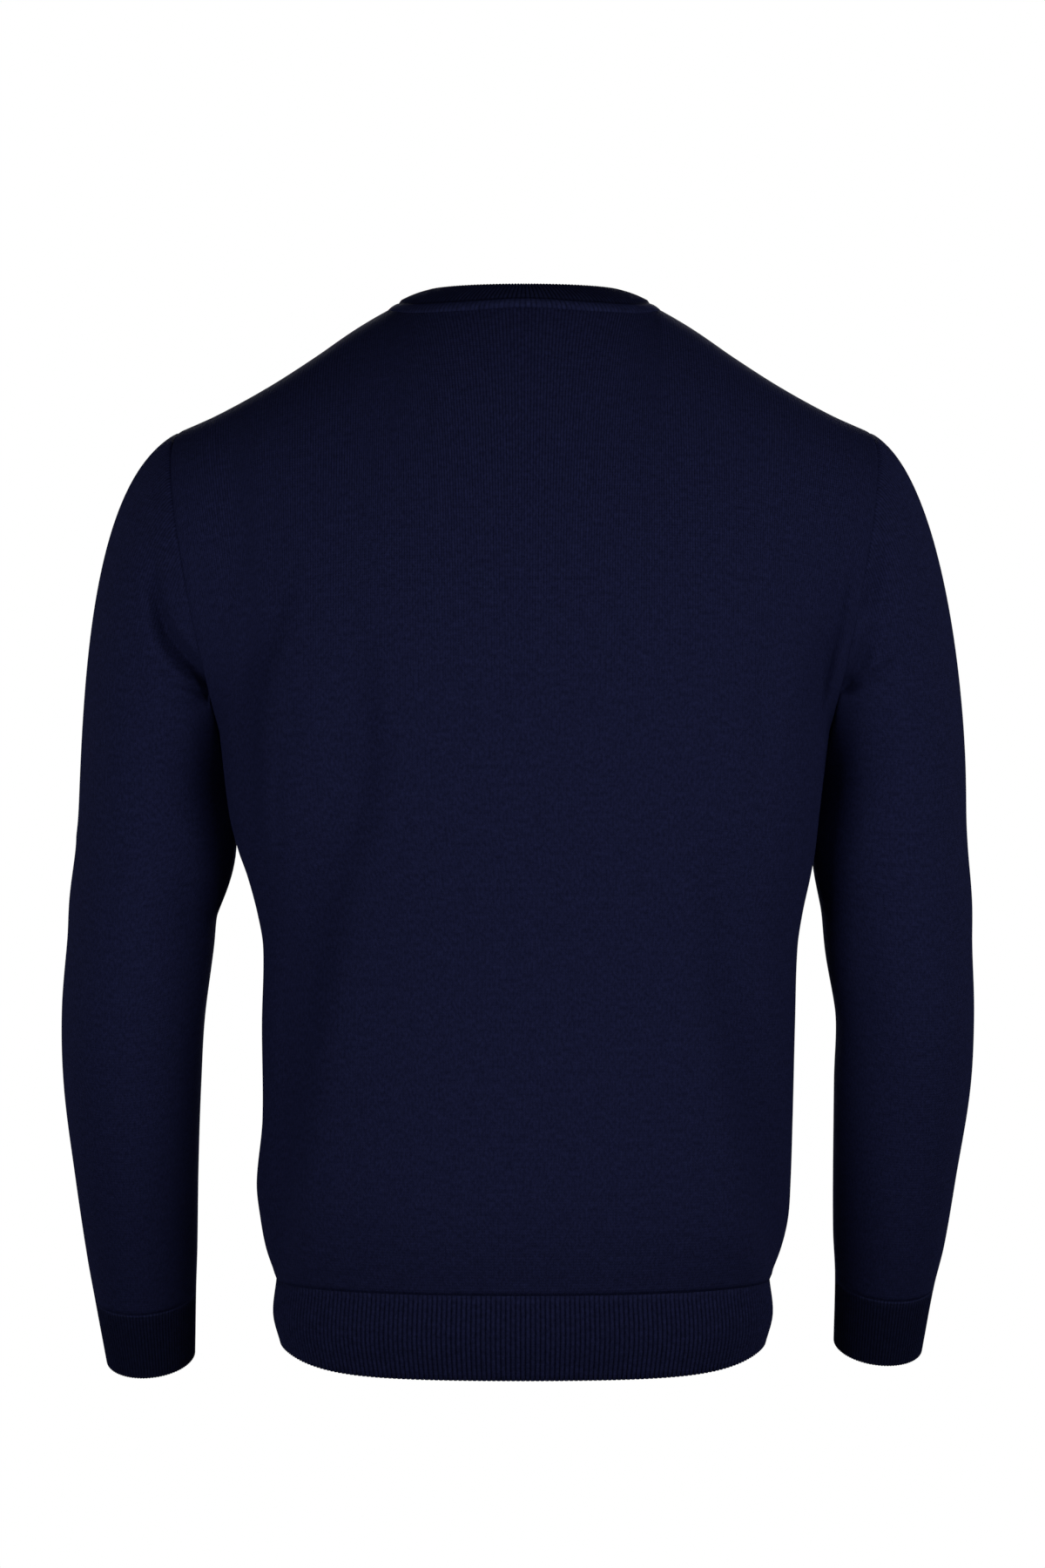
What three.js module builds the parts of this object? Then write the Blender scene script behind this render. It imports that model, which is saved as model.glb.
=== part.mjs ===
// A long-sleeved, round-necked sweater in fine-gauge knit, in the form it has when it is worn.
// It is open at the neck, hem and cuffs. Every piece is a wall of cloth of its real thickness,
// and neighbouring pieces are a seam gap apart.
// Millimetres. +Z is up, +X is the wearer's left and -Y is the front. The origin is between the two
// points where the shoulder seams meet the neckband, on the centre plane.
import * as THREE from "three";

// ---- Driving dimensions ----
const CLOTH = 1.6; // thickness of the plain knit
const RIB_CLOTH = 2.2; // thickness of the ribbed bands at the top of a rib
const SEAM_GAP = 0.3; // between neighbouring pieces
const FIT_GAP = 0.7; // extra room at the underarm, where two walls lie back to back
const SQUARENESS = 0.87; // exponent of the body's rounded sections: 1 is an ellipse, less is squarer
const SET_BACK = 1.2; // how far a wall's inner face stops short at a seam that bends

const HEM_RIBS = 282; // raised ribs all round
const CUFF_RIBS = 102;
const NECK_RIBS = 205;
const RIB_RELIEF = 0.6; // from the top of a rib to the groove beside it

// Sections of the body from the top of the hem rib to the underarm: height, sideways shift,
// half width, and how far the back and the front stand from the side seams.
const BODY = [
  { z: -610, shift: 0.8, half: 155.5, back: 103, front: 104 },
  { z: -592, shift: 0.5, half: 162.4, back: 107.5, front: 108.5 },
  { z: -573, shift: 0, half: 166.6, back: 110.5, front: 111.5 },
  { z: -550, shift: 0.4, half: 168.6, back: 111, front: 112 },
  { z: -510, shift: -2, half: 167.4, back: 108.5, front: 110 },
  { z: -450, shift: -2.6, half: 168.2, back: 105, front: 108 },
  { z: -402, shift: -3.8, half: 168.5, back: 105, front: 109 },
  { z: -380, shift: -3.6, half: 171.9, back: 106.5, front: 111 },
  { z: -357, shift: -3, half: 177.5, back: 108.5, front: 113.5 },
  { z: -340, shift: -1.5, half: 182, back: 110, front: 115 },
  { z: -318, shift: 0, half: 186, back: 112, front: 117 },
  { z: -268, shift: 0, half: 192, back: 114, front: 118 },
];

// Sections of the hem rib, and how much lower its edge hangs at the centre than at the sides.
const HEM = [
  { z: -650, shift: 0.8, half: 153, back: 102.5, front: 103.5, dip: 12 },
  { z: -632, shift: 0.8, half: 157.6, back: 106, front: 107, dip: 6 },
  { z: -610.3, shift: 0.8, half: 155.4, back: 103, front: 104, dip: 0 },
];

// The shoulder line. Between the neck points it runs on over the neck, where the neckline cuts it off.
const SHOULDER = [
  { x: 0, z: 29 },
  { x: 45, z: 21 },
  { x: 84, z: 2 },
  { x: 107, z: -11.4 },
  { x: 133, z: -29.4 },
  { x: 161, z: -47.4 },
  { x: 192, z: -64.6 },
  { x: 217, z: -76 },
];
const SHOULDER_SEAM_Y = -6; // the seam sits a little forward of the ridge
const UNDERARM_FLARE = 0.1; // how fast the body widens at the underarm
const SHOULDER_SPREAD = 1.25; // how evenly a panel's columns reach the shoulder line, in radians
const NECK_TURN = 0.26; // where along a panel's width the neck point lies

// The upper part of each panel, from the underarm over to the shoulder line. "rise" is how the cloth
// leaves the underarm level ("inward" is along the section, towards the centre) and "fall" how it
// leaves the shoulder line, at the centre and at the armhole; "neckDrop" is the share of it that the
// neckline cuts off at the centre.
const PANELS = {
  back: {
    face: 1,
    neckDrop: 0.265,
    riseCentre: { inward: 0, y: 8, z: 112 },
    riseEdge: { inward: 78, y: 0, z: 24 },
    fallCentre: { x: 0, y: 108, z: 6 },
    fallEdge: { x: 16, y: 108, z: -8 },
  },
  front: {
    face: -1,
    neckDrop: 0.45,
    riseCentre: { inward: 0, y: 10, z: 82 },
    riseEdge: { inward: 74, y: 0, z: 24 },
    fallCentre: { x: 0, y: 84, z: -9 },
    fallEdge: { x: 6, y: 92, z: -8 },
  },
};

// Sections of each sleeve from the upper arm to the cuff's edge: height and place of the centre,
// half width across and half depth from front to back. "x" is measured away from the centre plane.
// "capReach" and "armReach" are how far the cloth keeps its direction below the shoulder point and
// above the first section.
const SLEEVES = {
  left: {
    side: 1,
    cuffSeam: -627,
    capReach: 60,
    armReach: 70,
    rows: [
      { z: -300, x: 235.2, y: -24, half: 47.8, depth: 60 },
      { z: -337, x: 234.4, y: -25, half: 51, depth: 60 },
      { z: -374, x: 242.1, y: -24, half: 47.4, depth: 58 },
      { z: -398, x: 244, y: -23, half: 46.6, depth: 56.5 },
      { z: -444, x: 248.8, y: -24, half: 45.5, depth: 54 },
      { z: -489, x: 250, y: -31, half: 43.8, depth: 51 },
      { z: -544, x: 248.5, y: -43, half: 39.7, depth: 46.5 },
      { z: -599, x: 246, y: -56, half: 35.5, depth: 41 },
      { z: -627, x: 244.5, y: -63, half: 32.7, depth: 38 },
      { z: -669.5, x: 242.1, y: -76, half: 28.7, depth: 35 },
    ],
  },
  right: {
    side: -1,
    cuffSeam: -618,
    capReach: 45,
    armReach: 84,
    rows: [
      { z: -300, x: 234.3, y: -24, half: 46.9, depth: 60 },
      { z: -337, x: 232.6, y: -25, half: 49.6, depth: 60 },
      { z: -374, x: 236.9, y: -24, half: 48.1, depth: 58 },
      { z: -400, x: 238.2, y: -23, half: 46.9, depth: 56.5 },
      { z: -444, x: 242.3, y: -24, half: 44, depth: 53.5 },
      { z: -489, x: 241.3, y: -31, half: 43.5, depth: 50.5 },
      { z: -543, x: 237.6, y: -42, half: 39.7, depth: 46 },
      { z: -590, x: 234.6, y: -53, half: 35.9, depth: 41.5 },
      { z: -618, x: 232.4, y: -60, half: 32, depth: 38 },
      { z: -661.5, x: 229.1, y: -73, half: 28.7, depth: 34.5 },
    ],
  },
};
const CAP_DIRECTION = { shoulder: { x: 0.9, z: -0.43 }, underarm: { x: 0.25, z: -1 } };
const CAP_TURN = 0.25; // how far the cap's cloth turns to the front and the back beside the seam
const UNDERARM_REACH = 8; // "capReach" and "armReach" at the underarm
const LEVEL_LENGTH = 100; // of the tube below the cap, for one unit of a sleeve's level

// The largest folds, each a soft trough along a path on the cloth.
const BODY_FOLDS = [
  { path: [[172, 65, -240], [169, 58, -316]], depth: 3.5, width: 13 },
  { path: [[108, 98, -262], [110, 84, -400], [104, 88, -530]], depth: 3.5, width: 24 },
  { path: [[-190, 66, -200], [-184, 54, -256]], depth: 3.5, width: 12 },
  { path: [[-128, 92, -270], [-116, 84, -400], [-110, 88, -520]], depth: 3, width: 26 },
  { path: [[172, -62, -236], [166, -58, -312]], depth: 3.5, width: 14 },
  { path: [[-174, -62, -232], [-168, -58, -296]], depth: 3, width: 14 },
  { path: [[78, -112, -280], [84, -100, -400], [80, -98, -520]], depth: 3, width: 26 },
  { path: [[-86, -110, -300], [-92, -98, -420], [-84, -98, -540]], depth: 3.5, width: 24 },
];
const SLEEVE_FOLDS = {
  left: [
    { path: [[232, 54, -170], [220, 51, -208], [203, 45, -232]], depth: 7, width: 13 },
    { path: [[217, 44, -248], [202, 38, -248]], depth: 3, width: 11 },
    { path: [[200, -50, -388], [224, -78, -402], [252, -78, -398]], depth: 4, width: 12 },
    { path: [[234, -66, -186], [214, -62, -224], [204, -46, -244]], depth: 5, width: 13 },
  ],
  right: [
    { path: [[-226, 59, -153], [-216, 61, -182]], depth: 3.5, width: 12 },
    { path: [[-240, 47, -213], [-222, 48, -229], [-206, 45, -236]], depth: 5.5, width: 12 },
    { path: [[-198, -50, -390], [-222, -78, -404], [-248, -77, -398]], depth: 4, width: 12 },
    { path: [[-232, -66, -180], [-214, -62, -218], [-204, -46, -240]], depth: 5, width: 13 },
  ],
};

// The neckband: the inner edge as a ring, and the raised edge that covers the seam.
const NECKBAND = {
  half: 61, backY: 48, frontY: -79, sideZ: 12, backZ: 10.9, frontZ: -56, bulge: 1.5,
};
const BEAD_SHARE = 0.17; // the raised edge's share of the band's width
const BEAD_HEIGHT = 1;
const BAND_START = 0.08; // where the band's inside starts, clear of the panels' walls

// ---- Small helpers ----
const mix = (a, b, t) => a + (b - a) * t;
const vec = (x = 0, y = 0, z = 0) => new THREE.Vector3(x, y, z);
const signedPower = (value, power) => Math.sign(value) * Math.abs(value) ** power;

// A smooth curve through the rows of a table: every named column at one value of the column "by".
function rowAt(table, by, value) {
  const rising = table[table.length - 1][by] > table[0][by] ? 1 : -1;
  let i = 0;
  while (i < table.length - 2 && (value - table[i + 1][by]) * rising > 0) i += 1;
  const [a, b] = [table[i], table[i + 1]];
  const before = table[Math.max(i - 1, 0)];
  const after = table[Math.min(i + 2, table.length - 1)];
  const span = b[by] - a[by];
  const t = (value - a[by]) / span;
  const row = {};
  for (const key of Object.keys(a)) {
    const slopeA = ((b[key] - before[key]) / (b[by] - before[by])) * span;
    const slopeB = ((after[key] - a[key]) / (after[by] - a[by])) * span;
    row[key] =
      (2 * t ** 3 - 3 * t ** 2 + 1) * a[key] +
      (t ** 3 - 2 * t ** 2 + t) * slopeA +
      (3 * t ** 2 - 2 * t ** 3) * b[key] +
      (t ** 3 - t ** 2) * slopeB;
  }
  row[by] = value;
  return row;
}

// Every named number of two records, mixed.
function blend(a, b, t) {
  return Object.fromEntries(Object.keys(a).map((key) => [key, mix(a[key], b[key], t)]));
}

// A cubic through four control points.
function cubic([a, b, c, d], t) {
  const s = 1 - t;
  return a.clone().multiplyScalar(s ** 3)
    .addScaledVector(b, 3 * s * s * t)
    .addScaledVector(c, 3 * s * t * t)
    .addScaledVector(d, t ** 3);
}

// How far the folds draw the cloth in at a point. A fold fades out towards its ends.
function foldDepth(point, folds) {
  let depth = 0;
  for (const { path, depth: deepest, width } of folds) {
    let [nearest, along] = [Infinity, 0];
    for (let i = 1; i < path.length; i += 1) {
      const line = new THREE.Line3(vec(...path[i - 1]), vec(...path[i]));
      const share = line.closestPointToPointParameter(point, true);
      const away = point.distanceTo(line.at(share, vec()));
      if (away < nearest) [nearest, along] = [away, (i - 1 + share) / (path.length - 1)];
    }
    const ends = Math.min(1, 0.4 + 2.4 * Math.min(along, 1 - along));
    depth += deepest * ends * Math.exp(-((nearest / width) ** 2));
  }
  return depth;
}

// ---- The body ----
// A point on a horizontal section. turn runs from -1 at the right side seam to 1 at the left.
function sectionPoint(panel, turn, row) {
  const angle = (turn * Math.PI) / 2;
  const out = panel.face > 0 ? row.back : row.front;
  const deep = signedPower(Math.cos(angle), SQUARENESS);
  const y = panel.face * (out * deep + SEAM_GAP / 2);
  const x = row.shift + row.half * signedPower(Math.sin(angle), SQUARENESS);
  return vec(x, y, row.z - (row.dip ?? 0) * (1 - Math.sin(angle) ** 6));
}

// A point on a panel. level is 0 at the hem rib, 1 at the underarm and 2 at the shoulder line.
function panelPoint(panel, turn, level) {
  const underarm = BODY[BODY.length - 1];
  if (level <= 1) {
    const z = mix(BODY[0].z, underarm.z, level);
    return sectionPoint(panel, turn, rowAt(BODY, "z", z));
  }
  const low = sectionPoint(panel, turn, underarm);
  const inward = sectionPoint(panel, turn - Math.sign(turn) * 1e-3, underarm).sub(low).normalize();
  const rise = blend(panel.riseCentre, panel.riseEdge, Math.abs(turn) ** 3);
  const leave = vec(turn * UNDERARM_FLARE * rise.z, panel.face * rise.y, rise.z)
    .addScaledVector(inward, rise.inward);
  const spread = Math.sin(turn * SHOULDER_SPREAD) / Math.sin(SHOULDER_SPREAD);
  const x = SHOULDER[SHOULDER.length - 1].x * signedPower(spread, SQUARENESS);
  const ridge = rowAt(SHOULDER, "x", Math.abs(x)).z;
  const high = vec(x, SHOULDER_SEAM_Y + (panel.face * SEAM_GAP) / 2, ridge);
  const fall = blend(panel.fallCentre, panel.fallEdge, turn ** 2);
  const neck = Math.exp(-2 * (turn / NECK_TURN) ** 2);
  const arrive = vec(
    Math.sign(turn) * fall.x,
    panel.face * fall.y,
    mix(panel.fallEdge.z, panel.fallCentre.z, neck),
  );
  return cubic([low, low.clone().add(leave), high.clone().add(arrive), high], level - 1);
}

// The level at which the neckline or the shoulder seam ends a panel.
function topLevel(panel, turn) {
  const reach = Math.min(1, Math.abs(turn) / NECK_TURN);
  return 2 - panel.neckDrop * Math.sqrt(1 - reach * reach);
}

// ---- The sleeves ----
// The armhole seam, round from the shoulder point down the back to the underarm and up the front.
function armholePoint(sleeve, round) {
  const panel = round <= 0.5 ? PANELS.back : PANELS.front;
  const level = 2 - (round <= 0.5 ? round : 1 - round) * 2;
  return panelPoint(panel, sleeve.side, level);
}

// A point on the sleeve's tube at a height of its centre line, in a section square to that line.
function tubePoint(sleeve, round, z) {
  const row = rowAt(sleeve.rows, "z", z);
  const next = rowAt(sleeve.rows, "z", z - 1);
  const centre = vec(sleeve.side * row.x, row.y, z);
  const down = vec(sleeve.side * next.x, next.y, z - 1).sub(centre).normalize();
  const outward = vec(sleeve.side, 0, 0).addScaledVector(down, -sleeve.side * down.x).normalize();
  const backward = down.clone().cross(outward).multiplyScalar(-sleeve.side);
  const angle = round * 2 * Math.PI;
  return centre
    .addScaledVector(outward, row.half * Math.cos(angle))
    .addScaledVector(backward, row.depth * Math.sin(angle));
}

// 0 at the shoulder point and 1 at the underarm.
const lowness = (round) => Math.sin(Math.PI * round) ** 2;

// A point on a sleeve. level runs 0 to 1 over the cap and on by the height of the centre line.
function sleevePoint(sleeve, round, level) {
  const top = sleeve.rows[0].z;
  if (level > 1) return tubePoint(sleeve, round, top - (level - 1) * LEVEL_LENGTH);
  const low = lowness(round);
  const way = blend(CAP_DIRECTION.shoulder, CAP_DIRECTION.underarm, low);
  const turn = -CAP_TURN * Math.sin(2 * Math.PI * round);
  const leave = vec(sleeve.side * way.x, turn, way.z).normalize();
  const start = armholePoint(sleeve, round)
    .addScaledVector(leave, SEAM_GAP)
    .add(vec(sleeve.side * FIT_GAP * low ** 2, 0, 0));
  const end = tubePoint(sleeve, round, top);
  const arrive = end.clone().sub(tubePoint(sleeve, round, top - 4)).normalize();
  return cubic([
    start,
    start.clone().addScaledVector(leave, mix(sleeve.capReach, UNDERARM_REACH, low)),
    end.clone().addScaledVector(arrive, mix(sleeve.armReach, UNDERARM_REACH, low)),
    end,
  ], level);
}

// ---- Walls ----
// The outward normal of a surface. flip turns it round for a surface that runs the other way.
function normalAt(surface, u, v, flip) {
  const step = 1e-3;
  const along = surface(u + step, v).sub(surface(u - step, v));
  const up = surface(u, v + step).sub(surface(u, v - step));
  return along.cross(up).normalize().multiplyScalar(flip);
}

// A row of points on a surface at a list of places [u, v], moved out by lift(index) and in by depth.
function rowOf(surface, places, { flip = 1, depth = 0, lift = () => 0, folds = [] }) {
  const points = places.map(([u, v], i) => {
    const point = surface(u, v);
    const move = lift(i) - depth - foldDepth(point, folds);
    return point.addScaledVector(normalAt(surface, u, v, flip), move);
  });
  return { at: places.map(([u]) => u), points };
}

// A closed solid from rows of points: the outer face upwards, then the inner face downwards.
// Rows may hold different numbers of points. A closed ring joins its ends; an open one is capped.
function solidOf(outer, inner, closed) {
  const rows = [...outer, ...[...inner].reverse()];
  const positions = [];
  const ids = rows.map((row) => {
    const first = positions.length / 3;
    row.points.forEach((p) => positions.push(p.x, p.y, p.z));
    const own = row.points.map((_, i) => first + i);
    return closed ? [...own, own[0]] : own;
  });
  const places = rows.map((row) => (closed ? [...row.at, row.at[0] + 1] : row.at));
  const faces = [];
  if (!closed) {
    const count = rows.length;
    for (let i = 0; i < outer.length - 1; i += 1) {
      const [a, b, c, d] = [i, i + 1, count - 2 - i, count - 1 - i];
      const first = [a, b, c, d].map((k) => ids[k][0]);
      const last = [a, b, c, d].map((k) => ids[k][ids[k].length - 1]);
      faces.push(first[2], first[0], first[1], first[3], first[0], first[2]);
      faces.push(last[1], last[0], last[2], last[2], last[0], last[3]);
    }
  }
  rows.forEach((_, i) => {
    const j = (i + 1) % rows.length;
    let [a, b] = [0, 0];
    while (a < ids[i].length - 1 || b < ids[j].length - 1) {
      const nextA = a < ids[i].length - 1 ? places[i][a + 1] : Infinity;
      const nextB = b < ids[j].length - 1 ? places[j][b + 1] : Infinity;
      if (nextA <= nextB) faces.push(ids[j][b], ids[i][a], ids[i][++a]);
      else faces.push(ids[j][b], ids[i][a], ids[j][++b]);
    }
  });
  const geometry = new THREE.BufferGeometry();
  geometry.setAttribute("position", new THREE.Float32BufferAttribute(positions, 3));
  geometry.setIndex(faces);
  return geometry;
}

// Evenly spaced places from 0 to 1.
const steps = (count) => Array.from({ length: count + 1 }, (_, i) => i / count);
const ringSteps = (count) => steps(count).slice(0, -1);

// Places at equal distances along a curve through a surface at one v.
function evenPlaces(surface, from, to, v, count, closed) {
  class Edge extends THREE.Curve {
    getPoint(t) {
      return surface(mix(from, to, t), v);
    }
  }
  const edge = new Edge();
  edge.arcLengthDivisions = 1200;
  const shares = closed ? ringSteps(count) : steps(count);
  return shares.map((share) => mix(from, to, edge.getUtoTmapping(share)));
}

const ribLift = (index) => (index % 2 ? -RIB_RELIEF : 0);

// ---- The pieces ----
const YOKE_LENGTH = 200; // of a panel above the underarm, for one unit of its level
const NECK_COLUMNS = 8; // from the centre to the neck point
const SHOULDER_COLUMNS = 6; // from the neck point to the armhole
const ARMHOLE_ROWS = 11; // from the underarm to the shoulder point
const SLEEVE_COLUMNS = 28;
const HEM_COLUMNS = 36; // of the hem rib's plain inside
const PANEL_HEIGHTS = [-610, -602, -590, -573, -548, -510, -460, -415, -380, -347, -305, -268];
const CAP_LEVELS = [0.08, 0.18, 0.3, 0.43, 0.57, 0.71, 0.86, 1];
const TUBE_HEIGHTS = [-318, -337, -356, -374, -386, -398, -420, -444, -489, -544, -590];

// The columns of a panel, spaced for the neckline by ease(share) between the centre and a neck point.
function panelTurns(ease) {
  const neck = steps(NECK_COLUMNS).map((t) => NECK_TURN * ease(t));
  const shoulder = steps(SHOULDER_COLUMNS).slice(1).map((t) => mix(NECK_TURN, 1, t));
  const right = [...neck, ...shoulder].reverse().map((t) => -t);
  return [...right.slice(0, -1), ...neck, ...shoulder];
}
const LOW_TURNS = panelTurns((t) => t);
const TOP_TURNS = panelTurns((t) => Math.sin((t * Math.PI) / 2));
const rowAcross = (us, v) => us.map((u) => [u, v]);

// The places of one row of a panel. Above the underarm the rows close up under the neckline, and the
// inner face stops short at the armhole and the top edge.
function panelPlaces(panel, height, isInner) {
  if (height <= 1) return rowAcross(LOW_TURNS, height);
  const short = isInner ? SET_BACK / YOKE_LENGTH : 0;
  return LOW_TURNS.map((low, i) => {
    const turn = mix(low, TOP_TURNS[i], (height - 1) ** 3);
    const top = topLevel(panel, turn) - short;
    return [turn * (1 - short), mix(1, top, height - 1)];
  });
}

function bodyPanel(panel) {
  const surface = (turn, level) => {
    const inside = Math.max(-1, Math.min(1, turn));
    return panelPoint(panel, inside, Math.max(0, Math.min(2, level)));
  };
  const [foot, underarm] = [BODY[0].z, BODY[BODY.length - 1].z];
  const low = PANEL_HEIGHTS.map((z) => (z - foot) / (underarm - foot));
  const high = steps(ARMHOLE_ROWS).slice(1).map((rise) => 1 + rise);
  const flip = -panel.face;
  const row = (isInner) => (height) =>
    rowOf(surface, panelPlaces(panel, height, isInner), {
      flip,
      depth: isInner ? CLOTH : 0,
      folds: BODY_FOLDS,
    });
  const outer = [...low, ...high].map(row(false));
  const inner = [...low, ...high].map(row(true));
  return panel.face > 0 ? solidOf(inner, outer, false) : solidOf(outer, inner, false);
}

function hemRib(panel) {
  const surface = (turn, z) => {
    const inside = Math.max(-1, Math.min(1, turn));
    return sectionPoint(panel, inside, rowAt(HEM, "z", z));
  };
  const flip = -panel.face;
  const levels = HEM.map((row) => row.z);
  const ribs = evenPlaces(surface, -1, 1, HEM[1].z, HEM_RIBS, false);
  const plain = evenPlaces(surface, -1, 1, HEM[1].z, HEM_COLUMNS, false);
  const outer = levels.map((z) => rowOf(surface, rowAcross(ribs, z), { flip, lift: ribLift }));
  const inner = levels.map((z) => rowOf(surface, rowAcross(plain, z), { flip, depth: RIB_CLOTH }));
  return panel.face > 0 ? solidOf(inner, outer, false) : solidOf(outer, inner, false);
}

function sleeveTube(name) {
  const sleeve = SLEEVES[name];
  const surface = (round, level) => sleevePoint(sleeve, ((round % 1) + 1) % 1, Math.max(0, level));
  const top = sleeve.rows[0].z;
  const heights = [...TUBE_HEIGHTS, sleeve.cuffSeam];
  const levels = [...CAP_LEVELS, ...heights.map((z) => 1 + (top - z) / LEVEL_LENGTH)];
  const flip = -sleeve.side;
  const columns = ringSteps(SLEEVE_COLUMNS);
  const seam = ringSteps(2 * ARMHOLE_ROWS);
  const capLength = (round) => 3 * mix(sleeve.capReach, UNDERARM_REACH, lowness(round));
  const face = (isInner) => {
    const short = isInner ? SET_BACK : 0;
    const places = [
      seam.map((round) => [round, short / capLength(round)]),
      ...levels.map((level) => rowAcross(columns, level)),
    ];
    const depth = isInner ? CLOTH : 0;
    return places.map((row) => rowOf(surface, row, { flip, depth, folds: SLEEVE_FOLDS[name] }));
  };
  const [outer, inner] = [face(false), face(true)];
  return sleeve.side > 0 ? solidOf(inner, outer, true) : solidOf(outer, inner, true);
}

function cuffRib(name) {
  const sleeve = SLEEVES[name];
  const surface = (round, z) => tubePoint(sleeve, round, z);
  const [top, foot] = [sleeve.cuffSeam - SEAM_GAP, sleeve.rows[sleeve.rows.length - 1].z];
  const flip = sleeve.side;
  const ribs = evenPlaces(surface, 0, 1, top, 2 * CUFF_RIBS, true);
  const plain = ringSteps(SLEEVE_COLUMNS);
  const outer = [foot, top].map((z) => rowOf(surface, rowAcross(ribs, z), { flip, lift: ribLift }));
  const inner = [foot, top].map((z) =>
    rowOf(surface, rowAcross(plain, z), { flip, depth: RIB_CLOTH }));
  return sleeve.side > 0 ? solidOf(outer, inner, true) : solidOf(inner, outer, true);
}

// A point on the neckband. round runs from the left neck point over the back; across is 0 at the
// neckline seam and 1 at the inner edge.
function neckbandPoint(round, across) {
  const angle = round * 2 * Math.PI;
  const panel = Math.sin(angle) >= 0 ? PANELS.back : PANELS.front;
  const turn = NECK_TURN * Math.cos(angle);
  const seam = panelPoint(panel, turn, topLevel(panel, turn));
  const deep = Math.abs(Math.sin(angle));
  const edge = vec(
    NECKBAND.half * Math.cos(angle),
    mix(SHOULDER_SEAM_Y, panel.face > 0 ? NECKBAND.backY : NECKBAND.frontY, deep),
    mix(NECKBAND.sideZ, panel.face > 0 ? NECKBAND.backZ : NECKBAND.frontZ, deep),
  );
  const width = edge.distanceTo(seam);
  const point = seam.lerp(edge, mix(SEAM_GAP / width, 1, across));
  point.z += NECKBAND.bulge * 4 * across * (1 - across);
  return point;
}

function neckband() {
  const plain = ringSteps(4 * NECK_COLUMNS);
  const ribs = evenPlaces(neckbandPoint, 0, 1, 0.5, 2 * NECK_RIBS, true);
  const row = (us, across, options) => rowOf(neckbandPoint, rowAcross(us, across), options);
  const bead = { lift: () => BEAD_HEIGHT };
  const outer = [
    row(plain, 0, {}),
    row(plain, 0.25 * BEAD_SHARE, bead),
    row(plain, 0.8 * BEAD_SHARE, bead),
    row(plain, BEAD_SHARE, {}),
    row(ribs, 1.1 * BEAD_SHARE, { lift: ribLift }),
    row(ribs, 1, { lift: ribLift }),
  ];
  const inner = [BAND_START, 0.5, 1].map((across) => row(plain, across, { depth: RIB_CLOTH }));
  return solidOf(outer, inner, true);
}

// ---- The garment ----
const NAVY_KNIT = { color: 0x14162e, roughness: 0.95, metalness: 0 };
const NAVY_RIB = { color: 0x10122a, roughness: 0.95, metalness: 0 };

const sweater = new THREE.Group();
function add(name, geometry, finish) {
  const mesh = new THREE.Mesh(geometry, new THREE.MeshStandardMaterial(finish));
  mesh.name = name;
  sweater.add(mesh);
}

add("back", bodyPanel(PANELS.back), NAVY_KNIT);
add("front", bodyPanel(PANELS.front), NAVY_KNIT);
add("back_hem_rib", hemRib(PANELS.back), NAVY_RIB);
add("front_hem_rib", hemRib(PANELS.front), NAVY_RIB);
for (const name of ["left", "right"]) {
  add(name + "_sleeve", sleeveTube(name), NAVY_KNIT);
  add(name + "_cuff", cuffRib(name), NAVY_RIB);
}
add("neckband", neckband(), NAVY_RIB);

export default sweater;
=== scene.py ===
import math

import bmesh
import bpy
import numpy as np
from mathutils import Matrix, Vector


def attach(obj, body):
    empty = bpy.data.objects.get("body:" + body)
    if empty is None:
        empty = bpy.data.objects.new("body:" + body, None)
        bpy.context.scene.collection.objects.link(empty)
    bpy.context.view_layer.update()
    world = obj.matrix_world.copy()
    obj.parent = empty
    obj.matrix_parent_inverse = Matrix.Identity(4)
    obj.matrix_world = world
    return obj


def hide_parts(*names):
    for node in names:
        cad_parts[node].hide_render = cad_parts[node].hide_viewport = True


# A long-sleeved, round-necked sweater in fine navy cashmere, in the form it has when it is worn.
# Plain-knitted back, front and sleeves are linked together, with ribbed hem, cuffs and neckband.
# Shapes are worked out in millimetres, with +Z up, +X the wearer's left and -Y the front, and are
# turned to metres as each mesh is made.

bl_info = {
    "name": "Cashmere Sweater",
    "version": (1, 0, 0),
    "blender": (4, 5, 0),
    "location": "View3D > Sidebar > Sweater",
    "description": "Knits a cashmere sweater piece by piece and sets a plain studio round it",
    "category": "Add Mesh",
}

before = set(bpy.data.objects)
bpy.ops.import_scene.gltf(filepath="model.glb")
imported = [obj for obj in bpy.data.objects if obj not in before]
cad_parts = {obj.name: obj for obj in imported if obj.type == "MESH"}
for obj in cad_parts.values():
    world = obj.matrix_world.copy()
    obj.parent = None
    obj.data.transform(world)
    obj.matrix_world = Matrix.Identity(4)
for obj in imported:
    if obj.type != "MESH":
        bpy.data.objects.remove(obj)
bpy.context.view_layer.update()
MM = 0.001

# ---- The garment's sizes ----
TUCK = -1.0  # how far a sleeve's edge starts past the armhole's edge: below 0 it lies under it
SQUARENESS = 0.87  # exponent of the body's rounded sections: 1 is an ellipse, less is squarer

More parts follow.
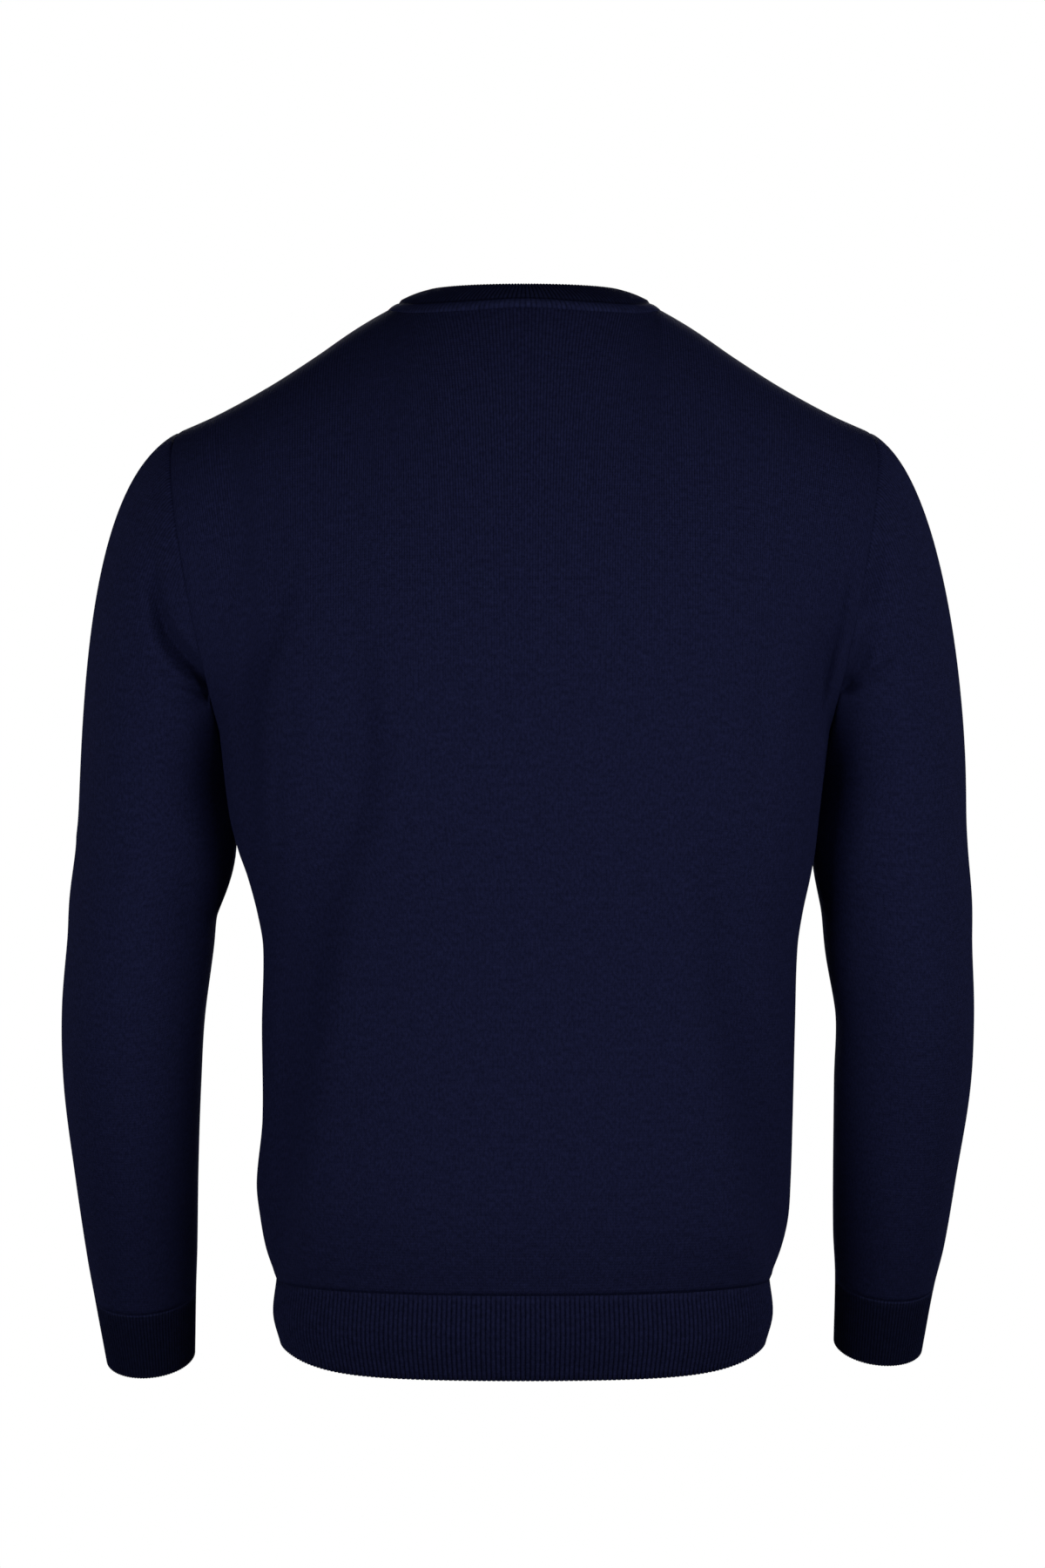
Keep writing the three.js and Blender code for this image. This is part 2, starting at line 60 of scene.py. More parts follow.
HEM_RIBS = 282  # raised ribs all round
CUFF_RIBS = 102
NECK_RIBS = 205
RIB_STEPS = 8  # columns of faces in one rib
RIB_WIDTH = 3.0  # of one rib on the map of the cloth
RIB_START = 2.5  # a rib takes this long to rise beside a seam
CLOSE_RIB = 0.6  # how high the ribs of cuffs and neckband stand, against the hem's
COURSE = 1.7  # height of one row of stitches
NO_ROLL = -900  # for a rib with no roll painted paler as light: lower than any place on the map of its cloth
CUFF_ROLL = 1.0  # width of the roll at the top of a cuff and at the neckline
NECK_ROLL = 6.8
ROLL_EDGE = 0.5  # over which the roll's painted light fades
ROLL_LIGHT = 0.85  # painted light: how much paler the roll is painted, for the light on its rolled edge
HEM_PUFF = (0.5, 2, 1.5)  # the knit's puff above the hem rib: how far out, how high up, how tall
STRETCH = (-260, -110)  # heights over which the plain knit grows more stretched

# Columns and rows of faces. The first number of a group counts the even ones; then come those that
# lie closer beside either end, and the share of the length that each of these takes.
PANEL_COLUMNS = (190, 6, 6, 0.014)
YOKE_ROWS = (76, 1, 7, 0.03)
CAP_ROWS = (88, 7, 1, 0.05)
BODY_ROWS = 110
TUBE_ROWS = 120
BAND_ROWS = 12
BEAD_ROWS = 11
NECK_ROWS = 10
# A sleeve's columns lie closer together beside its folds: how many there are, where the folds are,
# how wide the crowd is and how much closer its columns are.
SLEEVE_COLUMNS = (168, (0.3, 0.7), 0.1, 2.2)
CROWD_STEPS = 2001  # places at which that crowd is worked out
CURVE_STEPS = 4001  # the same for a curve that is divided evenly
CREASE_STEPS = 120  # and for a crease's path

# Sections of the body from the top of the hem rib to the underarm: height, sideways shift,
# half width, and how far the back and the front stand from the side seams.
BODY = (
    (-610, 0.8, 155.5, 103, 104),
    (-592, 0.5, 162.4, 107.5, 108.5),
    (-573, 0, 166.6, 110.5, 111.5),
    (-550, 0.4, 168.6, 111, 112),
    (-510, -2, 167.4, 108.5, 110),
    (-450, -2.6, 168.2, 105, 108),
    (-402, -3.8, 168.5, 105, 109),
    (-380, -3.6, 171.9, 106.5, 111),
    (-357, -3, 177.5, 108.5, 113.5),
    (-340, -1.5, 182, 110, 115),
    (-318, 0, 186, 112, 117),
    (-268, 0, 192, 114, 118),
)
# The same for the hem rib, and how much lower its edge hangs at the centre than at the sides.
HEM = (
    (-650, 0.8, 153, 102.5, 103.5, 12),
    (-632, 0.8, 157.6, 106, 107, 6),
    (-610, 0.8, 155.5, 103, 104, 0),
)
HEM_DIP_POWER = 6  # the higher it is, the more evenly the edge hangs low between the sides
# The shoulder line: distance from the centre, and height. It runs on over the neck, where the
# neckline cuts it off.
SHOULDER = (
    (-45, 21),
    (0, 29),
    (45, 21),
    (84, 2),
    (107, -11.4),
    (133, -29.4),
    (161, -47.4),
    (192, -64.6),
    (217, -76),
)
SHOULDER_SEAM_Y = -6  # the seam sits a little forward of the ridge
UNDERARM_FLARE = 0.1  # how fast the body widens at the underarm
SHOULDER_SPREAD = 1.25  # how evenly a panel's columns reach the shoulder line, in radians
NECK_TURN = 0.26  # where along a panel's width the neck point lies
NECK_NARROWING = -2  # how soon the cloth's way up to the neck gives way to that at the shoulder

# The upper part of each panel. "rise" is how the cloth leaves the underarm level (inward along the
# section, outward, up) and "fall" how it leaves the shoulder line (sideways, outward, up).
PANELS = {
    "back": {
        "face": 1,
        "neck_drop": 0.265,
        "rise_centre": (0, 8, 112),
        "rise_edge": (78, 0, 24),
        "fall_centre": (0, 108, 6),
        "fall_edge": (16, 108, -8),
    },
    "front": {
        "face": -1,
        "neck_drop": 0.45,
        "rise_centre": (0, 10, 82),
        "rise_edge": (74, 0, 24),
        "fall_centre": (0, 84, -9),
        "fall_edge": (6, 92, -8),
    },
}

# Sections of each sleeve: height and place of the centre, half width across and half depth from
# front to back. The place across is measured away from the centre plane. "cap_reach" and
# "arm_reach" are how far the cloth keeps its direction below the shoulder point and above the
# first section.
SLEEVES = {
    "left": {
        "side": 1,
        "cuff_seam": -627,
        "cap_reach": 60,
        "arm_reach": 70,
        "rows": (
            (-300, 235.2, -24, 47.8, 60),
            (-337, 234.4, -25, 51, 60),
            (-374, 242.1, -24, 47.4, 58),
            (-398, 244, -23, 46.6, 56.5),
            (-444, 248.8, -24, 45.5, 54),
            (-489, 250, -31, 43.8, 51),
            (-544, 248.5, -43, 39.7, 46.5),
            (-599, 246, -56, 35.5, 41),
            (-627, 244.5, -63, 32.7, 38),
            (-669.5, 242.1, -76, 28.7, 35),
        ),
    },
    "right": {
        "side": -1,
        "cuff_seam": -618,
        "cap_reach": 45,
        "arm_reach": 84,
        "rows": (
            (-300, 234.3, -24, 46.9, 60),
            (-337, 232.6, -25, 49.6, 60),
            (-374, 236.9, -24, 48.1, 58),
            (-400, 238.2, -23, 46.9, 56.5),
            (-444, 242.3, -24, 44, 53.5),
            (-489, 241.3, -31, 43.5, 50.5),
            (-543, 237.6, -42, 39.7, 46),
            (-590, 234.6, -53, 35.9, 41.5),
            (-618, 232.4, -60, 32, 38),
            (-661.5, 229.1, -73, 28.7, 34.5),
        ),
    },
}
CAP_AT_SHOULDER = (0.9, -0.43)  # direction of the cap's cloth at the seam: outward, up
CAP_AT_UNDERARM = (-0.1, -1)
CAP_TURN = 0.25  # how far it turns to the front and the back beside the seam
UNDERARM_REACH = 8  # "cap_reach" and "arm_reach" at the underarm
LEVEL_LENGTH = 100  # of the tube below the cap, for one unit of a sleeve's level
TUBE_STEP = 4.0  # how far down the tube its direction below the cap is taken

# The neckband: the inner edge as a ring, and the rolled edge that covers the seam.
BAND_HALF = 61
BAND_Y = {"back": 48, "front": -79}
BAND_Z = {"side": 12, "back": 10.9, "front": -56}
BAND_BULGE = 1.5
BAND_LIFT = 1.2  # of its ribs, which puff up where the band is folded double
BAND_RISE = 0.06  # share of the band's width over which they rise
BEAD_START = -0.1  # the rolled edge covers the seam and ends part of the way across the band
BEAD_END = 0.2
BEAD_HEIGHT = {"side": 0.7, "back": 2.4}

SEAM_DEPTH = 1.2  # how far linked edges turn in, and over what width
SEAM_WIDTH = 1.5
SEAM_FLAT = (-195, -165)  # heights over which the armhole's seam flattens out
SEAM_LEAST = 0.1  # the share of its depth that is left below them
SEAM_HOLD = 0.1  # share of a panel's half width over which its edge seam holds a crease flat
CAP_HOLD = 0.06  # the same for a sleeve's cap and the armhole seam
FACE_SHARE = 2.5  # how soon round a sleeve the creases of its back or front reach full depth

# Creases as they lie seen square from one face. The first number leans a crease: above 0 it is
# wider towards +X. Each point of its path gives the distance across, the height, how deep the
# crease is there and how wide.
BODY_CREASES = {
    "back": (
        (0.35, (147, -173, 1, 11), (150, -192, 4, 11), (157, -214, 8, 10), (167, -245, 13, 10),
         (170, -277, 14, 10), (169, -307, 10, 10), (167, -331, 4, 10), (163, -358, 1, 10)),
        (0.35, (102, -209, 1, 16), (99, -246, 5, 17), (99, -288, 7.5, 18), (105, -323, 9, 18),
         (118, -357, 12, 18), (130, -412, 17, 18), (141, -472, 20, 18), (150, -535, 21, 18),
         (155, -585, 14, 17)),
        (0.4, (-199, -159, 1, 7), (-194, -194, 5, 7), (-189, -220, 8, 7), (-184, -248, 6, 6),
         (-181, -275, 2, 6)),
        (-0.35, (-118, -325, 1, 18), (-120, -357, 5, 18), (-125, -423, 10, 18),
         (-135, -471, 16, 18), (-144, -519, 20, 17), (-153, -569, 18, 16), (-156, -591, 10, 15)),
        (0, (-153, -190, 0.8, 9), (-150, -224, 2.2, 9), (-146, -272, 2.2, 9), (-142, -315, 0.8, 9)),
        (0, (150, -272, 0.5, 3), (152, -309, 1.4, 3), (153, -354, 0.5, 3)),
    ),
    "front": (
        (0, (150, -170, 1, 8), (158, -200, 4.5, 7), (166, -236, 7, 7), (168, -272, 6, 7),
         (165, -312, 2, 8)),
        (0.35, (84, -262, 1, 17), (88, -330, 6, 18), (104, -398, 11, 18), (122, -466, 16, 17),
         (136, -540, 16, 16), (142, -590, 9, 15)),
        (0, (-152, -176, 1, 8), (-161, -208, 5, 7), (-168, -240, 7.5, 7), (-169, -280, 5, 7),
         (-166, -322, 1, 8)),
        (-0.35, (-96, -286, 1, 17), (-98, -350, 6, 18), (-112, -420, 12, 18),
         (-126, -490, 17, 17), (-140, -566, 13, 15)),
        (0, (30, -300, 0.5, 12), (26, -380, 2, 12), (28, -470, 0.5, 12)),
    ),
}
SLEEVE_CREASES = {
    "left": {
        "back": (
            (0.25, (231, -152, 0.8, 5), (229, -167, 4, 5), (227, -185, 9, 5), (221, -205, 14, 5.5),
             (209, -221, 17, 6), (197, -235, 17, 6.5)),
            (0, (228, -231, 1, 3), (215, -236, 3, 3), (198, -243, 4, 3)),
            (0, (220, -250, 1.5, 4), (206, -249, 4, 4), (196, -246, 5, 4)),
            (0, (198, -252, 2, 8), (195, -271, 5, 10), (193, -299, 6, 12), (190, -326, 5, 12),
             (187, -354, 3, 12), (188, -387, 1, 10)),
        ),
        "front": (
            (0.25, (233, -158, 1, 5), (228, -184, 6, 5), (220, -207, 11, 5), (206, -226, 14, 5.5),
             (196, -238, 14, 6)),
            (0, (232, -226, 1, 3), (218, -236, 3, 3.5), (199, -245, 4, 4)),
            (0, (198, -256, 2, 8), (194, -290, 5, 11), (190, -330, 4, 12), (188, -372, 1, 12)),
            (0, (226, -396, 1, 6), (244, -404, 3.5, 6), (262, -402, 2.5, 6)),
            (0, (232, -414, 0.8, 5), (248, -420, 2.4, 5), (262, -418, 1.2, 5)),
        ),
    },
    "right": {
        "back": (
            (0, (-222, -152, 1.5, 5), (-218, -171, 5, 5), (-213, -188, 5, 5), (-210, -197, 1.5, 4)),
            (0, (-219, -199, 1, 4), (-212, -213, 5, 4.5), (-207, -226, 8, 5), (-200, -238, 9, 5)),
            (0, (-241, -213, 0.6, 3), (-229, -224, 2.5, 3), (-220, -230, 4, 3.5),
             (-205, -236, 6, 4)),
            (0, (-202, -244, 3, 9), (-198, -271, 5, 10), (-194, -304, 6, 12), (-191, -332, 5, 12),
             (-189, -359, 3, 10), (-186, -387, 1, 10)),
        ),
        "front": (
            (-0.25, (-232, -160, 1, 5), (-226, -190, 6, 5), (-216, -214, 11, 5),
             (-202, -234, 14, 6)),
            (0, (-238, -222, 1.2, 3), (-222, -232, 5, 3.5), (-203, -242, 6, 4)),
            (0, (-200, -250, 2, 8), (-196, -288, 5, 11), (-192, -330, 4, 12), (-188, -370, 1, 12)),
            (0, (-222, -398, 1, 6), (-240, -408, 4, 6), (-256, -405, 2, 6)),
            (0, (-228, -420, 0.8, 5), (-242, -425, 2, 5), (-254, -422, 1, 5)),
        ),
    },
}

# How the knit's pattern is made up. Noise scales are per millimetre of cloth.
CHEVRON = 6.0  # how steeply a stitch's two arms climb from the middle of its wale
STITCH_RELIEF = 0.16  # share of the whole relief
NAP_RELIEF = 0.9
NAP_SCALE = 0.9
NAP_DETAIL = 3.0
TONE_DETAIL = 2.0
FIBRE_ROUGHNESS = 0.6  # how much the finer parts of the noise show
FLECK_SCALE = 0.6
FLECK_STRETCH = (1, 0.6, 1)  # less than 1 draws a pattern out that way on the cloth
FLECK_RANGE = (0.35, 0.65)  # of the noise that takes up the tones
FLECK_TONES = (0.76, 1.24)
PATCH_SCALE = 0.2
PATCH_STRETCH = (0.5, 1, 1)
PATCH_RANGE = (0.3, 0.7)
PATCH_TONES = (0.9, 1.1)
GROOVE_SHADING_RANGE = (0.04, 0.24)  # squared distance from a wale's middle, in wales, over which painted light on a wale's top gives way to painted shade in its groove
NAP_SHEEN = "5a66c0"

# The camera and the floor.
LENS = 101.82
SENSOR_WIDTH = 36
CAMERA_ACROSS = 0.0011
FLOOR_RADIUS = 2.0
FLOOR_CORNERS = 96
LIGHT_SIZE = (0.5, 0.35)
FILL = 0.01  # of the light that comes from all round

# The studio's soft lights: where each stands and what it is aimed at, in metres, and its share of
# the power. The last one, under the sweater, lights the floor.
LIGHTS = (
    ((0.574, 0.82, -0.33), (0, 0, -0.3), 1.0),
    ((-0.574, 0.82, -0.33), (0, 0, -0.3), 0.86),
    ((-1.2, 0.7, 0.6), (0, 0, -0.3), 1.3),
    ((0, -1.1, 0.35), (0, 0, -0.3), 3.6),
    ((1.3, -0.5, -0.1), (0, 0, -0.3), 0.5),
    ((-1.3, -0.5, -0.1), (0, 0, -0.3), 0.3),
    ((0, 0, -0.8), (0, 0, -1.4), 2.0),
)


# ---- Small helpers ----
def linear(text):
    """A colour given as sRGB hex, in the linear values that shaders take."""
    parts = [int(text[i : i + 2], 16) / 255 for i in (0, 2, 4)]
    return [c / 12.92 if c <= 0.04045 else ((c + 0.055) / 1.055) ** 2.4 for c in parts]


def mix(a, b, t):
    return a + (b - a) * t


def signed_power(value, power):
    return np.sign(value) * np.abs(value) ** power


def points(x, y, z):
    return np.stack(np.broadcast_arrays(x, y, z), axis=-1).astype(float)


def unit(vectors):
    length = np.linalg.norm(vectors, axis=-1, keepdims=True)
    return vectors / np.maximum(length, 1e-12)


def bezier(a, b, c, d, t):
    t = t[..., None]
    s = 1 - t
    return a * s**3 + b * 3 * s * s * t + c * 3 * s * t * t + d * t**3


def read_table(table, at):
    """Every column of a table after its first, on smooth curves through its rows."""
    rows = np.array(sorted(table), float)
    keys = rows[:, 0]
    at = np.asarray(at, float)
    i = np.clip(np.searchsorted(keys, at) - 1, 0, len(keys) - 2)
    before, after = np.maximum(i - 1, 0), np.minimum(i + 2, len(keys) - 1)
    span = (keys[i + 1] - keys[i])[..., None]
    t = (at - keys[i])[..., None] / span
    slope_a = (rows[i + 1] - rows[before]) * span / (keys[i + 1] - keys[before])[..., None]
    slope_b = (rows[after] - rows[i]) * span / (keys[after] - keys[i])[..., None]
    read = (
        (2 * t**3 - 3 * t**2 + 1) * rows[i]
        + (t**3 - 2 * t**2 + t) * slope_a
        + (3 * t**2 - 2 * t**3) * rows[i + 1]
        + (t**3 - t**2) * slope_b
    )
    return [read[..., k] for k in range(1, rows.shape[1])]


# ---- The form of the cloth ----
def section_point(face, turn, shift, half, back, front, height):
    """A point on a level section. turn runs from -1 at the right side seam to 1 at the left."""
    angle = turn * math.pi / 2
    x = shift + half * signed_power(np.sin(angle), SQUARENESS)
    y = face * (back if face > 0 else front) * signed_power(np.cos(angle), SQUARENESS)
    return points(x, y, height)


def panel_point(name, turn, level):
    """A point on the back or front. level is 0 at the hem rib, 1 at the underarm and 2 at the
    shoulder line."""
    panel = PANELS[name]
    face = panel["face"]
    turn, level = np.broadcast_arrays(np.clip(turn, -1, 1), level)
    height = mix(BODY[0][0], BODY[-1][0], np.minimum(level, 1))
    below = section_point(face, turn, *read_table(BODY, height), height)
    underarm = BODY[-1][1:] + (BODY[-1][0],)
    low = section_point(face, turn, *underarm)
    inward = unit(section_point(face, turn - np.sign(turn) * 1e-3, *underarm) - low)
    edge = np.abs(turn) ** 3
    rise = [mix(a, b, edge) for a, b in zip(panel["rise_centre"], panel["rise_edge"])]
    leave = points(turn * UNDERARM_FLARE * rise[2], face * rise[1], rise[2])
    leave = leave + inward * rise[0][..., None]
    spread = np.sin(turn * SHOULDER_SPREAD) / math.sin(SHOULDER_SPREAD)
    x = SHOULDER[-1][0] * signed_power(spread, SQUARENESS)
    (ridge,) = read_table(SHOULDER, np.abs(x))
    high = points(x, SHOULDER_SEAM_Y, ridge)
    fall = [mix(a, b, turn**2) for a, b in zip(panel["fall_centre"], panel["fall_edge"])]
    neck = np.exp(NECK_NARROWING * (turn / NECK_TURN) ** 2)
    up = mix(panel["fall_edge"][2], panel["fall_centre"][2], neck)
    arrive = points(np.sign(turn) * fall[0], face * fall[1], up)
    above = bezier(low, low + leave, high + arrive, high, np.maximum(level - 1, 0))
    return np.where(level[..., None] <= 1, below, above)


def top_level(name, turn):
    """The level at which the neckline or the shoulder seam ends a panel."""
    reach = np.minimum(1, np.abs(turn) / NECK_TURN)
    return 2 - PANELS[name]["neck_drop"] * np.sqrt(1 - reach**2)


def hem_point(face, turn, height):
    shift, half, back, front, dip = read_table(HEM, height)
    drop = dip * (1 - np.sin(turn * math.pi / 2) ** HEM_DIP_POWER)
    return section_point(face, turn, shift, half, back, front, height - drop)


def tube_point(sleeve, around, height):
    """A point on a sleeve's tube at a height of its centre line, in a section square to it."""
    side = sleeve["side"]
    x, y, half, depth = read_table(sleeve["rows"], height)
    next_x, next_y, _, _ = read_table(sleeve["rows"], height - 1)
    centre = points(side * x, y, height)
    down = unit(points(side * next_x, next_y, height - 1) - centre)
    outward = unit(points(side, 0, 0) - side * down[..., :1] * down)
    backward = -side * np.cross(down, outward)
    angle = around * 2 * math.pi
    return (
        centre
        + outward * (half * np.cos(angle))[..., None]
        + backward * (depth * np.sin(angle))[..., None]
    )


def sleeve_point(sleeve, around, level):
    """A point on a sleeve, round from the shoulder point over the back. level runs 0 to 1 over the
    cap and on by the height of the centre line."""
    side, top = sleeve["side"], sleeve["rows"][0][0]
    around, level = np.broadcast_arrays(around, level)
    tube = tube_point(sleeve, around, top - np.maximum(level - 1, 0) * LEVEL_LENGTH)
    low = np.sin(math.pi * around) ** 2
    outward, up = (mix(a, b, low) for a, b in zip(CAP_AT_SHOULDER, CAP_AT_UNDERARM))
    leave = unit(points(side * outward, -CAP_TURN * np.sin(2 * math.pi * around), up))
    is_back = around <= 0.5
    seam_level = 2 - 2 * np.where(is_back, around, 1 - around)
    armhole = np.where(
        is_back[..., None],
        panel_point("back", side, seam_level),
        panel_point("front", side, seam_level),
    )
    start = armhole + leave * TUCK
    end = tube_point(sleeve, around, np.full(around.shape, float(top)))
    arrive = unit(end - tube_point(sleeve, around, np.full(around.shape, top - TUBE_STEP)))
    cap_reach = mix(sleeve["cap_reach"], UNDERARM_REACH, low)[..., None]
    arm_reach = mix(sleeve["arm_reach"], UNDERARM_REACH, low)[..., None]
    share = np.clip(level, 0, 1)
    cap = bezier(start, start + leave * cap_reach, end + arrive * arm_reach, end, share)
    return np.where(level[..., None] > 1, tube, cap)


def neckband_point(around, across):
    """A point on the neckband, round from the left neck point over the back. across is 0 at the
    neckline seam and 1 at the inner edge."""
    angle = around * 2 * math.pi
    turn = NECK_TURN * np.cos(angle)
    is_back = np.sin(angle) >= 0
    seam = np.where(
        is_back[..., None],
        panel_point("back", turn, top_level("back", turn)),
        panel_point("front", turn, top_level("front", turn)),
    )
    deep = np.abs(np.sin(angle))
    edge = points(
        BAND_HALF * np.cos(angle),
        mix(SHOULDER_SEAM_Y, np.where(is_back, BAND_Y["back"], BAND_Y["front"]), deep),
        mix(BAND_Z["side"], np.where(is_back, BAND_Z["back"], BAND_Z["front"]), deep),
    )
    place = mix(seam, edge, across[..., None])
    return place + points(0, 0, BAND_BULGE * 4 * across * (1 - across))


def crease_depth(place, creases):
    """How far the creases draw the cloth in, straight away from the one who looks at that face."""
    seen = place[..., [0, 2]]
    total = np.zeros(place.shape[:-1])
    for lean, *path in creases:
        table = [(i, *spot) for i, spot in enumerate(path)]
        steps = np.linspace(0, len(path) - 1, CREASE_STEPS)
        across, height, depth, width = read_table(table, steps)
        line = np.stack([across, height], axis=-1)
        shortest = np.full(total.shape, np.inf)
        nearest = np.zeros(total.shape, dtype=int)
        for i, spot in enumerate(line):
            away = np.sum((seen - spot) ** 2, axis=-1)
            nearest = np.where(away < shortest, i, nearest)
            shortest = np.minimum(shortest, away)
        spread = width[nearest] * (1 + lean * np.sign(seen[..., 0] - across[nearest]))
        total += depth[nearest] * np.exp(-shortest / spread**2)
    return total


def seam_dip(distance, place):
    """How far a linked edge turns in at a distance from the seam, which lies flat low down in the
    armhole."""
    low, high = SEAM_FLAT
    shown = np.clip((place[..., 2] - low) / (high - low), SEAM_LEAST, 1)
    return SEAM_DEPTH * shown * np.exp(-((distance / SEAM_WIDTH) ** 2))


def rib_height(count):
    """A rounded rib with a narrow groove at either side, from 0 to 1, at a count of ribs."""
    return 1 - np.abs(2 * (count % 1) - 1) ** 3


# ---- Making the cloth ----
def closer_at_ends(count, first, last, share):
    """Steps from 0 to 1 with closely spaced ones beside either end."""
    middle = np.linspace(share, 1 - share, count)
    start = np.linspace(0, share, first, endpoint=False)
    end = 1 - np.linspace(0, share, last, endpoint=False)[::-1]
    return np.concatenate([start, middle, end])


def gathered(count, centres, width, more):
    """Steps from 0 to 1 that lie closer together round some centres."""
    fine = np.linspace(0, 1, CROWD_STEPS)
    crowd = 1 + sum(more * np.exp(-(((fine - centre) / width) ** 2)) for centre in centres)
    reach = np.concatenate([[0], np.cumsum((crowd[1:] + crowd[:-1]) / 2)])
    return np.interp(np.linspace(0, reach[-1], count + 1), reach, fine)


def distances(place, axis):
    """How far each point lies along its own line of a row or a grid of points."""
    steps = np.linalg.norm(np.diff(place, axis=axis), axis=-1)
    start = np.zeros_like(np.take(steps, [0], axis=axis))
    return np.concatenate([start, np.cumsum(steps, axis=axis)], axis=axis)


def even_steps(curve, count):
    """Places from 0 to 1 at equal distances along a curve."""
    fine = np.linspace(0, 1, CURVE_STEPS)
    reach = distances(curve(fine), 0)
    return np.interp(np.linspace(0, reach[-1], count + 1), reach, fine)


def outward_normals(place, is_ring):
    """The way out at each point of a grid of points whose faces look outwards."""
    wrapped = place
    if is_ring:
        wrapped = np.concatenate([place[:, -2:-1], place, place[:, 1:2]], axis=1)
    along = np.gradient(wrapped, axis=1)
    if is_ring:
        along = along[:, 1:-1]
    return unit(np.cross(along, np.gradient(place, axis=0)))


def make_cloth(name, us, vs, form, lift, wall, is_ring=False, ribs=None, level_row=0):
    """A sheet of cloth: a grid with a column for each u and a row for each v, bent to a form,
    raised by lift and given a wall. Its map "cloth" is in millimetres of cloth, across and up, with
    the stitches of one row level; a ribbed cloth's gives every rib the same width."""
    across, up = np.meshgrid(us, vs)
    place = form(across, up)
    wide, high = distances(place, 1), distances(place, 0)
    mapped = wide[len(vs) // 2] if ribs is None else ribs * RIB_WIDTH
    out = outward_normals(place, is_ring)
    raised = place + out * lift(across, up, place, wide, high)[..., None]
    mesh = bpy.data.meshes.new(name)
    sheet = bmesh.new()
    bmesh.ops.create_grid(sheet, x_segments=len(us) - 1, y_segments=len(vs) - 1, size=1)
    sheet.to_mesh(mesh)
    spots = np.empty(len(mesh.vertices) * 3)
    mesh.vertices.foreach_get("co", spots)
    spots = spots.reshape(-1, 3)
    low, far = spots.min(axis=0), spots.max(axis=0)
    share = (spots - low)[:, :2] / (far - low)[:2]
    column = np.rint(share[:, 0] * (len(us) - 1)).astype(int)
    row = np.rint(share[:, 1] * (len(vs) - 1)).astype(int)
    mesh.vertices.foreach_set("co", (raised[row, column] * MM).ravel())
    corners = np.empty(len(mesh.loops), dtype=np.int32)
    mesh.loops.foreach_get("vertex_index", corners)
    flat = np.stack([mapped[column], (high - high[level_row])[row, column]], axis=1)
    cloth_map = mesh.uv_layers.new(name="cloth")
    cloth_map.data.foreach_set("uv", flat[corners].ravel())
    sheet.clear()
    sheet.from_mesh(mesh)
    if is_ring:
        bmesh.ops.remove_doubles(sheet, verts=sheet.verts, dist=1e-6)
    for face in sheet.faces:
        face.smooth = True
    sheet.to_mesh(mesh)
    sheet.free()
    piece = bpy.data.objects.new(name, mesh)
    bpy.context.scene.collection.objects.link(piece)
    solid = piece.modifiers.new("wall", "SOLIDIFY")
    solid.thickness = wall * MM
    solid.offset = -1
    return piece


def finish_piece(piece, material, node):
    """Dress a piece, hang it on the root and hide the solid it stands for."""
    piece.data.materials.append(material)
    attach(piece, "root")
    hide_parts(node)


# ---- Materials ----
def add_node(tree, kind, inputs=(), **settings):
    """One shader node with its settings. Its inputs go in order or by name, and each is a value, a
    socket to link, or a node whose first output is linked."""
    node = tree.nodes.new(kind)
    for name, value in settings.items():
        setattr(node, name, value)
    for key, value in inputs.items() if isinstance(inputs, dict) else enumerate(inputs):
        if isinstance(value, bpy.types.Node):
            value = value.outputs[0]
        if isinstance(value, bpy.types.NodeSocket):
            tree.links.new(value, node.inputs[key])
        else:
            node.inputs[key].default_value = value
    return node


